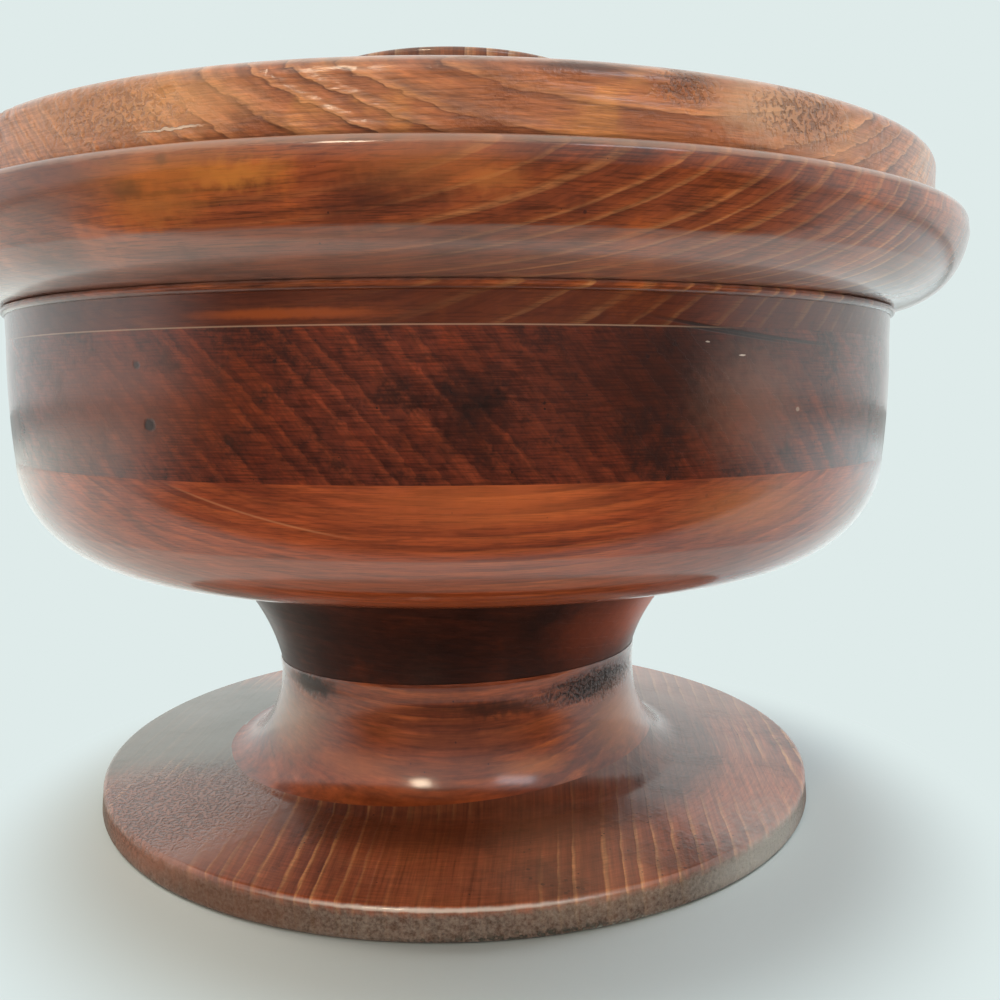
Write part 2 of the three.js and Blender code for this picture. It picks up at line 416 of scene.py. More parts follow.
# Stained softwood, turned on a lathe and brushed with gloss varnish. The stain reverses the grain: the soft
# early part of each ring drinks it and gets dark, the dense late part stays a thin pale line, and end grain
# is darker still. The thick varnish mirrors the room, over fine turning lines and torn grain.
def stainedPine(name, wood):
    material, add = emptied(bpy.data.materials.new(name + ", stained pine, turned and varnished"))
    wood = {**usualWood, **wood}
    turn = math.radians(wood["grainTurn"])
    across, up = wood["pith"]
    shift = (13.7 * wood["seed"], 29.3 * wood["seed"], 7.1 * wood["seed"])
    place = add("TexCoord").outputs
    points = add("VectorMath MULTIPLY", [place["Object"], (1000, 1000, 1000)])  # in millimetres
    split = add("SeparateXYZ", [points]).outputs
    log = add("Mapping TEXTURE", {
        "Vector": points, "Location": (-across * math.sin(turn), across * math.cos(turn), up),
        "Rotation": (0, 0, turn)})
    logSplit = add("SeparateXYZ", [log]).outputs  # X runs along the tree
    shifted = add("VectorMath ADD", [points, shift])

    # Distance from the middle of the tree, wandering over some centimetres, a little frayed at each line
    radial = add("VectorMath MULTIPLY", [log, (0, 1, 1)])
    distance = add("VectorMath LENGTH", [radial])
    slow = add("VectorMath MULTIPLY_ADD", [log, (0.007, 0.02, 0.02), shift])
    wander = add("TexNoise", [slow, 1, 1, 0.3])
    wandered = add("Math MULTIPLY_ADD", [wander, wood["wander"], distance])
    rough = add("VectorMath MULTIPLY", [log, (0.15, 0.8, 0.8)])
    jitter = add("TexNoise", [rough, 1, 2])
    depth = add("Math MULTIPLY_ADD", [jitter, wood["fray"], wandered])

    # Rings of uneven width
    count = add("Math DIVIDE", [depth, wood["ringGap"]])
    years = add("TexNoise 1D", [count, 0.43, 0])
    uneven = add("Math MULTIPLY_ADD", [years, 1.1, count])
    year = add("Math FRACT", [uneven])
    rings = add("ValToRGB", [year])
    stops = rings.color_ramp.elements
    for i, (spot, colour) in enumerate(wood["rings"]):  # the ramp starts with two stops of its own
        stop = stops[i] if i < 2 else stops.new(spot)
        stop.position = spot
        stop.color = linear(colour)
    shows = add("TexNoise", [shifted, 1 / 28, 1])
    faint = add("MapRange", [shows, 0.4, 0.6, wood["faintest"], wood["strongest"]])
    if "plainBefore" in wood:  # the rings hardly show on this side of the board
        middle, soft = wood["plainBefore"], wood["plainSoftness"]
        plain = add("MapRange", [split["X"], middle + soft, middle - soft, 0, 0.92])
        faint = add("Math MAXIMUM", [faint, plain])
    late = add("MapRange SMOOTHSTEP", [year, 0.5, 0.92])

    # Fibres about half a millimetre wide that follow the rings, and turning lines round the axis
    stretched = add("Math MULTIPLY", [logSplit["X"], 0.06])
    around = add("Math MULTIPLY", [logSplit["Y"], 0.4])
    layered = add("Math MULTIPLY", [wandered, wood["fibres"]])
    fibreSpace = add("CombineXYZ", [stretched, around, layered])
    fibres = add("TexNoise", [fibreSpace, 1, 3, 0.65])
    fibreTone = add("MapRange", [fibres, 0.3, 0.7, wood["fibreDark"], wood["fibreLight"]])
    flat = add("VectorMath MULTIPLY", [points, (1, 1, 0)])
    radius = add("VectorMath LENGTH", [flat])
    climb = add("Math MULTIPLY_ADD", [radius, 0.8, split["Z"]])
    fine = add("Math MULTIPLY", [climb, wood["latheFine"]])
    coarse = add("VectorMath MULTIPLY", [shifted, (0.2, 0.2, 0)])
    lift = add("CombineXYZ", {"Z": fine})
    latheSpace = add("VectorMath ADD", [coarse, lift])
    lathe = add("TexNoise", [latheSpace, 1, 3, 0.7])
    latheTone = add("MapRange", [
        lathe, wood["latheFrom"], wood["latheTo"], wood["latheDark"], wood["latheLight"]])

    # End grain, cloudy stain, paler places and small dark pits
    grain = add("VectorMath DOT_PRODUCT", [place["Normal"], (math.cos(turn), math.sin(turn), 0)])
    facing = add("Math ABSOLUTE", [grain])
    endGrain = add("MapRange SMOOTHSTEP", [facing, 0.35, 0.95, 0, wood["endAmount"]])
    clouds = add("TexNoise", [shifted, 1 / wood["cloudSize"], 5, wood["mottle"]])
    dark = add("MapRange SMOOTHSTEP", [clouds, 0.48, 0.66, 0, wood["darkAmount"]])
    pale = add("MapRange SMOOTHSTEP", [clouds, 0.47, 0.33, 0, wood["paleAmount"]])
    pits = add("TexVoronoi", [points, 1 / wood["pitGap"]])
    pitSize = add("MapRange", [clouds, 0.42, 0.7, 0, wood["pitSize"]])
    pit = add("Math LESS_THAN", [pits, pitSize])

    colour = rings
    for amount, layer, blend in (
        (faint, wood["middle"], "MIX"),
        (endGrain, wood["endGrain"], "MIX"),
        (pale, wood["paleStain"], "MIX"),
        (dark, wood["darkStain"], "MIX"),
        (1, fibreTone, "MULTIPLY"),
        (1, latheTone, "MULTIPLY"),
        (pit, wood["darkStain"], "MIX"),
    ):
        colour = add("Mix RGBA", [amount, colour, layer], blend_type=blend)

    # Height of the surface in millimetres
    torn = add("TexNoise", [shifted, 0.9, 3, 0.7])
    tornDepth = add("Math MULTIPLY", [dark, wood["tornDepth"]])
    height = add("Math MULTIPLY", [torn, tornDepth])
    relief = ((late, wood["ringDepth"]), (fibres, 0.02), (lathe, wood["latheDepth"]), (pit, -0.03))
    for source, amount in relief:
        height = add("Math MULTIPLY_ADD", [source, amount, height])

    # Bands round the axis with streaky edges, darker or paler. Most of them are painted light: painted
    # shade, painted highlights and painted reflections of the floor, noted where each wood lists them
    for across, low, high, soft, shake, tint, amount in wood["bands"]:
        shaken = add("Math MULTIPLY_ADD", [lathe, shake, radius if across == "radius" else split["Z"]])
        rise = add("MapRange SMOOTHSTEP", [shaken, low - soft, low, 0, amount])
        fall = add("MapRange SMOOTHSTEP", [shaken, high + soft, high])
        here = add("Math MULTIPLY", [rise, fall])
        colour = add("Mix RGBA", [here, colour, tint])

    # Signs of use, and some painted light: a worn edge, stained or pale places with ragged edges (some of
    # them painted highlights, painted sheen and painted reflections, noted where each wood lists them), and
    # curved scratches in front
    ragged = add("TexNoise", [points, 0.7, 3])
    offset = add("VectorMath ADD", [ragged.outputs["Color"], (-0.5, -0.5, -0.5)])
    specks = add("TexNoise", [points, 1.7, 2])
    speckled = add("MapRange", [specks, 0.46, 0.6])
    coatWeight = wood["varnish"]
    dull = add("MapRange", [clouds, 0.3, 0.7, 0.32, 0.5])
    if "wear" in wood:  # below one level the varnish is worn off and dusty
        wear = wood["wear"]
        wobble = add("Math MULTIPLY_ADD", [ragged, wear["ragged"], split["Z"]])
        lowDown = add("MapRange", [wobble, wear["top"], wear["bottom"]])
        outside = add("MapRange", [radius, wear["radius"], wear["radius"] + 1, 0, wear["amount"]])
        worn = add("Math MULTIPLY", [lowDown, outside])
        dust = add("TexNoise", [points, 1.6, 4, 0.7])
        speckle = add("MapRange", [dust, 0.3, 0.7])
        dusty = add("Mix RGBA", [speckle, wear["dark"], wear["light"]])
        colour = add("Mix RGBA", [worn, colour, dusty])
        pitted = add("Math MULTIPLY", [dust, worn])
        height = add("Math MULTIPLY_ADD", [pitted, wear["depth"], height])
        dull = add("Math MULTIPLY_ADD", [worn, 0.4, dull], use_clamp=True)
        coatWeight = add("Math SUBTRACT", [coatWeight, worn], use_clamp=True)

    for row in wood["marks"]:
        middle, (wide, high), tint, amount, shake, core, *rest = row
        dent, bare, inSpecks = rest + [0, 0, False][len(rest):]
        shaken = add("VectorMath MULTIPLY_ADD", [offset, (shake * high,) * 3, points])
        size = (wide, wide, high)
        centred = add("Mapping TEXTURE", {"Vector": shaken, "Location": middle, "Scale": size})
        away = add("VectorMath LENGTH", [centred])
        here = add("MapRange SMOOTHSTEP", [away, 1, core, 0, amount])
        if inSpecks:
            here = add("Math MULTIPLY", [here, speckled])
        if bare:  # the varnish is thin or gone here
            coatWeight = add("Math MULTIPLY_ADD", [here, -bare, coatWeight], use_clamp=True)
        colour = add("Mix RGBA", [here, colour, tint])
        height = add("Math MULTIPLY_ADD", [here, dent, height])
    for row in wood["scratches"]:
        start, length, level, slope, bow, width, fade, tint, amount, *rest = row
        dent = rest[0] if rest else 0
        run = add("Math SUBTRACT", [split["X"], start])
        climb = add("Math MULTIPLY_ADD", [run, bow, slope])
        line = add("Math MULTIPLY_ADD", [run, climb, level])
        off = add("Math SUBTRACT", [split["Z"], line])
        offSize = add("Math ABSOLUTE", [off])
        thin = add("MapRange", [offSize, width, width * 0.4])
        fadeIn = add("MapRange", [run, 0, fade])
        fadeOut = add("MapRange", [run, length, length - fade])
        ends = add("Math MULTIPLY", [fadeIn, fadeOut])
        front = add("MapRange", [split["Y"], 0, -1, 0, amount])
        drawn = add("Math MULTIPLY", [ends, front])
        here = add("Math MULTIPLY", [thin, drawn])
        colour = add("Mix RGBA", [here, colour, tint])
        height = add("Math MULTIPLY_ADD", [here, dent, height])

    woodBump = add("Bump", {"Strength": 1, "Distance": mm, "Height": height})
    shape = add("NewGeometry")
    levelled = add("Mix VECTOR", [wood["coatBump"], shape.outputs["Normal"], woodBump])
    coatShape = add("VectorMath NORMALIZE", [levelled])
    shader = add("BsdfPrincipled", {
        "Base Color": colour, "Roughness": dull, "IOR": 1.5, "Specular IOR Level": 0.3,
        "Normal": woodBump, "Coat Weight": coatWeight, "Coat Roughness": wood["gloss"], "Coat IOR": 1.6,
        "Coat Normal": coatShape})
    add("OutputMaterial", [shader])
    return material


# Levels of the boards, read from the frame
def levels(node):
    low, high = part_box(node)
    return low[2] / mm, high[2] / mm


toeSeam = levels("foot_disc")[1]
waistSeam, bowlUnderside = levels("stem_upper")
wallSeam, rimSeam = levels("bowl_wall")
rimTop = levels("rim_ring")[1]
spigotEnd, lidTop = levels("lid_board")
knobTop = levels("lid_knob")[1]

# Pedestal: a foot disc and two stem boards. Their glue lines weren't planed true, so they lean.
pedestal = {
    "footRadius": 67.4, "footEdgeHeight": 5.2, "footEdgeRounding": 0.9, "footEdgeTaper": 0.3,
    "hollowHeight": 6.4, "waistRadius": 34.5, "waistHeight": 23.4, "flareWidth": 10.2, "ledge": 0.2,
    "stemTopRadius": 46.4, "stemTopBow": 3.4, "boreRadius": 6.15, "boreDepth": 15,
    "toeLift": 0.3,  # how far the middle of the lower glue line lies above its level in the solids
    "toeRise": 1.9,  # how far it rises and falls
    "toeTurn": 0,
    "leanFrom": 14,  # the stem leans from this height up
    "waistRise": 1.8, "waistDrop": 1.3, "waistTurn": -49,
}
footWood = {
    "grainTurn": 84, "pith": (-900, 60), "ringGap": 2.95, "seed": 2.3, "wander": 5, "fray": 0.9,
    "rings": [
        (0, "#8a4229"), (1, "#8a4229"), (0.55, "#a35636"), (0.78, "#bb6a41"), (0.88, "#e3a068"),
        (0.95, "#e0985e")],
    "middle": "#ae5f3d", "faintest": 0.95, "strongest": 0.1, "endGrain": "#6e3c26", "endAmount": 0.35,
    "paleStain": "#be7245", "darkStain": "#51281c", "darkAmount": 0.6, "cloudSize": 20, "pitGap": 1.7,
    "pitSize": 0.25, "mottle": 0.72, "tornDepth": 0.16, "ringDepth": 0.03, "coatBump": 0.35,
    "gloss": 0.17,
    # Dark ring round the flare on the foot top: partly dark stain, partly painted shade beneath the flare
    "bands": [("radius", 38, 48.5, 8, 1.5, "#2c130c", 0.66)],
    "marks": [
        # Pale grey patch on the left of the foot top: painted reflection of the pale surroundings
        ((-58, 12, 6), (46, 16), "#77786d", 0.92, 0.4, 0.4),
        ((54, 30, 6), (34, 12), "#946852", 0.6, 0.25, 0.3),
        ((-46, -38, 6), (24, 7), "#97614a", 0.85, 0.5, 0.45),
        ((-50, -32, 6), (22, 7), "#57392c", 0.65, 0.5, 0.4, -0.4, 0, True),
        ((-31, -15, 7), (9, 5), "#221813", 0.85, 0.8, 0.3, -0.2, 0, True),
        # Soft pale veil on the front of the foot top: painted sheen
        ((18, -56, 6), (22, 6), "#ffd5b3", 0.15, 0.4, 0.2),
        ((50, -46, 2.4), (26, 4.5), "#c2bfb6", 0.6, 0.4, 0.2),
        ((-34, -58, 2.4), (22, 4.5), "#6c4028", 0.55, 0.8, 0.2),
        # Thin pale line along the front of the top arris: painted highlight
        ((-4, -67, 4.75), (32, 0.4), "#f2e2d2", 0.6, 0.8, 0.2),
        ((10, -66, 0.2), (26, 1.3), "#3d4036", 0.8, 1.5, 0.4, -0.6, 0, True),
        ((24, -62, 0.1), (12, 0.8), "#b9bbae", 0.7, 1.5, 0.4, 0.3, 0, True),
    ],
    "wear": {
        "top": 5.9, "bottom": 4.7, "ragged": 2, "radius": 65.8, "amount": 0.85, "dark": "#32281f",
        "light": "#887d71", "depth": 0.4},
}
lowerStemWood = {
    "grainTurn": -4, "pith": (60, -300), "ringGap": 2.6, "seed": 5.1, "wander": 5,
    "rings": [(0, "#793518"), (1, "#793518"), (0.5, "#93441c"), (0.9, "#b55b26")],
    "middle": "#8f421c", "endGrain": "#5d230f", "paleStain": "#b75e30", "darkStain": "#501e10",
    "darkAmount": 0.5, "cloudSize": 20, "gloss": 0.16,
    "marks": [
        ((26, -24, 23.4), (17, 3.4), "#2a1710", 0.8, 0.8, 0.3, 0, 0.6),
        ((25, -24, 23), (19, 3.6), "#120b08", 0.85, 0.8, 0.4, -0.2, 0.5, True),
        ((6, -34, 22), (14, 2.4), "#241009", 0.75, 1.5, 0.1),
        ((-26, -23, 23.4), (9, 2.8), "#150d0a", 0.9, 1.2, 0.35, -0.15, 0.6),
        ((14, -40, 12.4), (11, 2.6), "#d07a3a", 0.6, 0.4, 0.2),
        ((-20, -36, 12.4), (14, 3), "#b4602a", 0.5, 0.4, 0.2),
        # Pale places at both sides of the flare: painted reflections of the pale surroundings
        ((31, -18, 16), (17, 9), "#cb7327", 0.5, 0.3, 0.1),
        ((-31, -18, 16), (17, 9), "#cea079", 0.42, 0.3, 0.1),
        ((2, -37, 17.5), (15, 4), "#5a2813", 0.4, 0.5, 0.1),
    ],
}
upperStemWood = {
    "grainTurn": 88, "pith": (30, -240), "ringGap": 2.2, "seed": 8.4, "wander": 4,
    "rings": [(0, "#33160f"), (1, "#33160f"), (0.6, "#401b11"), (0.9, "#552413")],
    "middle": "#3d1a10", "endGrain": "#2b130c", "paleStain": "#5f270f", "paleAmount": 0.5,
    "darkStain": "#180c09", "darkAmount": 0.7, "cloudSize": 18, "gloss": 0.3, "varnish": 0.2,
    "marks": [
        ((40, -20, 36), (21, 13), "#d0643a", 0.95, 0.3, 0.1),
        ((26, -31, 34), (15, 12), "#96401e", 0.45, 0.4, 0.1),
    ],
}


def flare(start, end, steps):
    rise = pedestal["waistHeight"] - pedestal["hollowHeight"]
    centre = pedestal["waistRadius"] + pedestal["flareWidth"]
    return arc(centre, pedestal["waistHeight"], pedestal["flareWidth"], rise, start, end, steps)


def toeHeight(swing):  # of the lower glue line, from -1 where it is lowest to 1 where it is highest
    return toeSeam + pedestal["toeLift"] + pedestal["toeRise"] * swing


def toeAngle(swing):  # where the flare crosses that height
    rise = pedestal["waistHeight"] - pedestal["hollowHeight"]
    return 180 + math.degrees(math.asin(min(1, (pedestal["waistHeight"] - toeHeight(swing)) / rise)))


def toeFace(swing):  # the glued face there, from its edge to the axis
    radius, level = flare(toeAngle(swing), 180, 1)[0]
    middle = toeHeight(0)
    return [(radius * k, middle + (level - middle) * k, 0) for k in (0.97, 0.8, 0.6, 0.4, 0.2, 0)]


# The upper glue line lies lower than in the solids and leans. Its shift fades away towards the level fixed.
def leaning(points, fixed, seam, power):
    outline = []
    for r, z, relief in points:
        share = max(0, (z - fixed) / (seam - fixed)) ** power if r > pedestal["boreRadius"] + 1 else 0
        lean = pedestal["waistRise"] * share * r / pedestal["waistRadius"]
        outline.append((r, z - pedestal["waistDrop"] * share, relief, (0, 0, lean)))
    return outline


def footOutline(swing):
    edge, rounding, taper = pedestal["footRadius"], pedestal["footEdgeRounding"], pedestal["footEdgeTaper"]
    top, flareEnd = pedestal["footEdgeHeight"], pedestal["waistRadius"] + pedestal["flareWidth"]
    under = face([(0, 0), (edge - rounding, 0)], 0, 6)
    lower = face(quarter(edge, 0, rounding, 270, 8))
    side = face([(edge, rounding), (edge - taper, top - rounding)], 1, 0.5)
    upper = face(quarter(edge - taper, top, rounding, 0, 10))
    plate = face([(edge - taper - rounding, top), (flareEnd, pedestal["hollowHeight"])], 1, 0.8)
    hollow = face(flare(270, toeAngle(swing), 12))
    return joined(under, lower, side, upper, plate, hollow, toeFace(swing))


def lowerStemOutline(swing):
    waist, bore, top = pedestal["waistRadius"], pedestal["boreRadius"], waistSeam
    floor, edge = top - pedestal["boreDepth"], waist + pedestal["ledge"] / 2
    curve = face(flare(toeAngle(swing), 180, 40))
    side = [(waist, pedestal["waistHeight"]), (waist + pedestal["ledge"], top - 0.5), (edge, top)]
    neck = face(side, 1, 0.6)
    inside = face([(edge, top), (bore, top), (bore, floor), (0, floor)], 0)
    return leaning(joined(toeFace(swing)[::-1], curve, neck, inside), pedestal["leanFrom"], top, 1.5)


def upperStemOutline():
    low, high, waist, top = waistSeam, bowlUnderside, pedestal["waistRadius"], pedestal["stemTopRadius"]
    bore, ceiling = pedestal["boreRadius"], low + pedestal["boreDepth"]
    inside = face([(0, ceiling), (bore, ceiling), (bore, low), (waist, low)], 0)
    control = ((waist + top) / 2 - pedestal["stemTopBow"], (low + high) / 2)
    cone = face(bend((waist, low), control, (top, high), 40))
    return leaning(joined(inside, cone, face([(top, high), (0, high)], 0)), high, low, 2)


leans = {
    "First Lean Turn": math.radians(pedestal["toeTurn"]),
    "Second Lean Turn": math.radians(pedestal["waistTurn"]),
}
footSwings, stemSwings = [[f(swing) for swing in (-1, 0, 1)] for f in (footOutline, lowerStemOutline)]
foot = turnPiece("footBoard", footSwings, stainedPine("foot", footWood), Steps=540, **leans)
lowerStem = turnPiece(
    "lowerStemBoard", stemSwings, stainedPine("lower stem", lowerStemWood), Steps=360, **leans)
upperStem = turnPiece(
    "upperStemBoard", upperStemOutline(), stainedPine("upper stem", upperStemWood), Steps=360, **leans)

# Bowl: bottom board, upright wall board and rim board
bowl = {
    "radius": 78.3, "belly": 0.4, "cornerWidth": 20.8, "wall": 8, "floor": 8, "innerCorner": 14,
    "easing": 1, "rimRadius": 89.5, "skirt": 3.9, "beadWidth": 1.3, "beadDepth": 0.7, "widest": 16,
    "mouldingRise": 1.1, "mouldingLean": 1.3, "edgeTaper": 0.2, "edgeRounding": 1.5,
}
baseWood = {
    "grainTurn": 2, "pith": (163, -265), "ringGap": 2.1, "seed": 3.7, "wander": 6, "fray": 0.5,
    "rings": [(0, "#702c12"), (1, "#702c12"), (0.3, "#903b18"), (0.9, "#b75825")],
    "middle": "#97421c", "faintest": 0.85, "strongest": 0.3, "latheFrom": 0.41, "latheTo": 0.51,
    "latheDark": 0.68, "latheLight": 1.06, "latheFine": 4.6, "endGrain": "#5b2411",
    "paleStain": "#b6511f", "darkStain": "#6a270f", "darkAmount": 0.5, "cloudSize": 24, "gloss": 0.12,
    # Greyish lilac band low on the base: painted reflection of the pale floor
    "bands": [("height", 50.2, 54.4, 0.5, 0.7, "#a08c84", 0.22)],
    "marks": [
        ((4, -76, 62), (24, 5), "#cc6a30", 0.35, 0.4, 0.1),
        ((38, -66, 60), (17, 6), "#e89254", 0.27, 0.4, 0.1),
    ],
    "scratches": [(-37.7, 26, 64, -0.367, 0.00407, 0.17, 6, "#c98c60", 0.32)],
}
seamScratch = (21.5, 33, 84.5, -0.178, 0.00225, 0.3, 8, "#1c1412", 0.85, -0.06)  # over wall and rim
wallWood = {
    "grainTurn": 90, "pith": (700, -560), "ringGap": 2.9, "seed": 6.2, "fray": 1.5, "wander": 5,
    "rings": [
        (0, "#471b0f"), (1, "#471b0f"), (0.3, "#541f11"), (0.6, "#762f15"), (0.85, "#8f3d1b"),
        (0.97, "#7f3417")],
    "middle": "#602610", "faintest": 0.9, "strongest": 0.5, "endGrain": "#572011", "endAmount": 0.2,
    "paleStain": "#823115", "darkStain": "#2d130b", "darkAmount": 0.8, "cloudSize": 8, "mottle": 0.8,
    "latheFrom": 0.37, "latheTo": 0.57, "latheDark": 0.55, "latheLight": 1.2, "latheFine": 4,
    "pitSize": 0.2,
    "marks": [
        ((-44, -64, 74), (30, 11), "#7a3c1e", 0.5, 0.5, 0.1),
        ((30, -72, 77), (32, 16), "#27130d", 0.75, 0.5, 0.1),
        ((2, -78, 73), (7, 9), "#1a100d", 0.7, 1, 0.2, -0.05),
        ((-40, -67, 78.6), (0.9, 0.8), "#150c09", 0.8, 0.8, 0.55, -0.1),
        ((-38.5, -68, 71), (1.1, 1), "#150c09", 0.85, 0.8, 0.55, -0.1),
        ((31.2, -71.8, 81.1), (0.4, 0.12), "#c8b6a8", 0.8, 3, 0.55),
        ((36.2, -69.4, 79.5), (0.7, 0.13), "#d8c6b8", 0.9, 3, 0.55),
        ((45.5, -63.8, 72.5), (0.5, 0.4), "#a5917f", 0.7, 0.8, 0.55),
        # Soft pale patch on the right of the wall: painted sheen
        ((38, -68, 73), (14, 11), "#b0745a", 0.25, 0.6, 0.1),
    ],
    "scratches": [
        seamScratch,
        (24, 22, 83.6, -0.15, 0.0015, 0.2, 6, "#1c1412", 0.8, -0.05),
        (-72, 108, 82.9, 0, 0, 0.13, 12, "#b08c72", 0.6),
    ],
}
rimWood = {
    "grainTurn": -16, "pith": (-420, 398), "ringGap": 2.6, "seed": 1.4, "fray": 0.4, "wander": 5,
    "rings": [
        (0, "#6f2d12"), (1, "#6f2d12"), (0.5, "#863c16"), (0.76, "#a1521f"), (0.88, "#cd8a50"),
        (0.96, "#c8824a")],
    "middle": "#883f1b", "faintest": 0.65, "strongest": 0, "plainBefore": 8, "latheFrom": 0.41,
    "latheTo": 0.49, "latheDark": 0.62, "latheLight": 1.08, "latheFine": 4.2, "endGrain": "#652a15",
    "endAmount": 0.45, "paleStain": "#bf5e20", "paleAmount": 0.6, "darkStain": "#4a1e11",
    "darkAmount": 0.65, "cloudSize": 17,
    "bands": [
        # Pale band over the top rounding: painted highlight of the pale surroundings
        ("height", rimTop - 0.3, rimTop + 3, 0.5, 1, "#cdab90", 0.3),
        # Greyish lilac band on the moulding's underside: painted reflection of the pale floor
        ("height", 88.6, 93, 0.5, 0.9, "#a08c84", 0.3),
        # Darker band over the skirt and bead, under the moulding
        ("height", 80, 87.2, 0.5, 0.3, "#451c10", 0.7),
    ],
    "marks": [
        ((-31.3, -82.8, 100), (1.6, 1.2), "#1c100c", 0.85, 0.8, 0.55),
        ((-35.7, -81, 97.3), (3.6, 1.5), "#26150f", 0.75, 0.8, 0.2),
        ((-22.5, -85.5, 98), (8, 2.2), "#c4762a", 0.6, 1.5, 0.1),
        ((-33, -82, 95), (9, 2.4), "#b4672a", 0.55, 1.5, 0.1),
        ((-9, -88, 96.5), (5, 3), "#3c1a10", 0.6, 1.5, 0.1),
        ((4, -89, 97), (5, 2), "#b3672c", 0.5, 1.5, 0.1),
        # Thin orange line on the bead at the left: painted highlight
        ((-20, -76, 84.3), (17, 0.9), "#a04a18", 0.7, 0.5, 0.3),
        ((-48, -75, 99), (20, 7), "#5a2a0c", 0.55, 0.6, 0.2),
        ((-30, -82, 99), (18, 5), "#e08a3a", 0.3, 0.6, 0.1),
        ((-2, -88, 99), (14, 5), "#cc783c", 0.3, 0.6, 0.1),
    ],
    "scratches": [seamScratch],
}


def baseOutline():
    radius, corner, top = bowl["radius"] - bowl["belly"], bowl["cornerWidth"], wallSeam
    inner, innerCorner = bowl["radius"] - bowl["wall"], bowl["innerCorner"]
    height, floorLevel = top - bowlUnderside, bowlUnderside + bowl["floor"]
    under = face([(0, bowlUnderside), (radius - corner, bowlUnderside)], 1, 3)
    outside = face(arc(radius - corner, top, corner, height, 270, 360, 50))
    seam = face([(radius, top), (inner, top)], 0, 4)
    hollow = face(arc(inner - innerCorner, top, innerCorner, height - bowl["floor"], 360, 270, 36))
    floor = face([(inner - innerCorner, floorLevel), (0, floorLevel)], 1, 2.5)
    return joined(under, outside, seam, hollow, floor)


def wallOutline():
    radius, belly, low, high = bowl["radius"], bowl["belly"], wallSeam, rimSeam
    inner = radius - bowl["wall"]
    outside = face(bend((radius - belly, low), (radius + belly, (low + high) / 2), (radius, high), 44))
    head = face([(radius, high), (inner, high)], 0, 4)
    inside = face([(inner, high), (inner, low)], 1, 1)
    return joined(outside, head, inside, face([(inner, low), (radius - belly, low)], 0, 4))


def rimOutline():
    radius, rim, low, top = bowl["radius"], bowl["rimRadius"], rimSeam, rimTop
    inner, easing, rounding = radius - bowl["wall"], bowl["easing"], bowl["edgeRounding"]
    edgeRadius, beadLow, beadHalf = rim - bowl["edgeTaper"], low + bowl["skirt"], bowl["beadWidth"] / 2
    beadTop = low + bowl["skirt"] + bowl["beadWidth"]
    skirt = face([(radius, low), (radius, beadLow)], 1, 0.5)
    bead = face(arc(radius, beadLow + beadHalf, bowl["beadDepth"], beadHalf, -90, 90, 14))
    control = (rim - bowl["mouldingLean"], beadTop + bowl["mouldingRise"])
    moulding = face(bend((radius, beadTop), control, (rim, low + bowl["widest"]), 64))
    edge = face(quarter(edgeRadius, top, rounding, 0, 12))
    inside = [(edgeRadius - rounding, top), (inner + easing, top), (inner, top - easing), (inner, low)]
    seam = face([(inner, low), (radius, low)], 0, 4)
    return joined(skirt, bead, moulding, edge, face(inside, 1, 1.5), seam)


base = turnPiece("bowlBase", baseOutline(), stainedPine("bowl base", baseWood), Steps=480)
wall = turnPiece("bowlWall", wallOutline(), stainedPine("bowl wall", wallWood), Steps=480)
rim = turnPiece("rimBoard", rimOutline(), stainedPine("rim", rimWood), Steps=480)

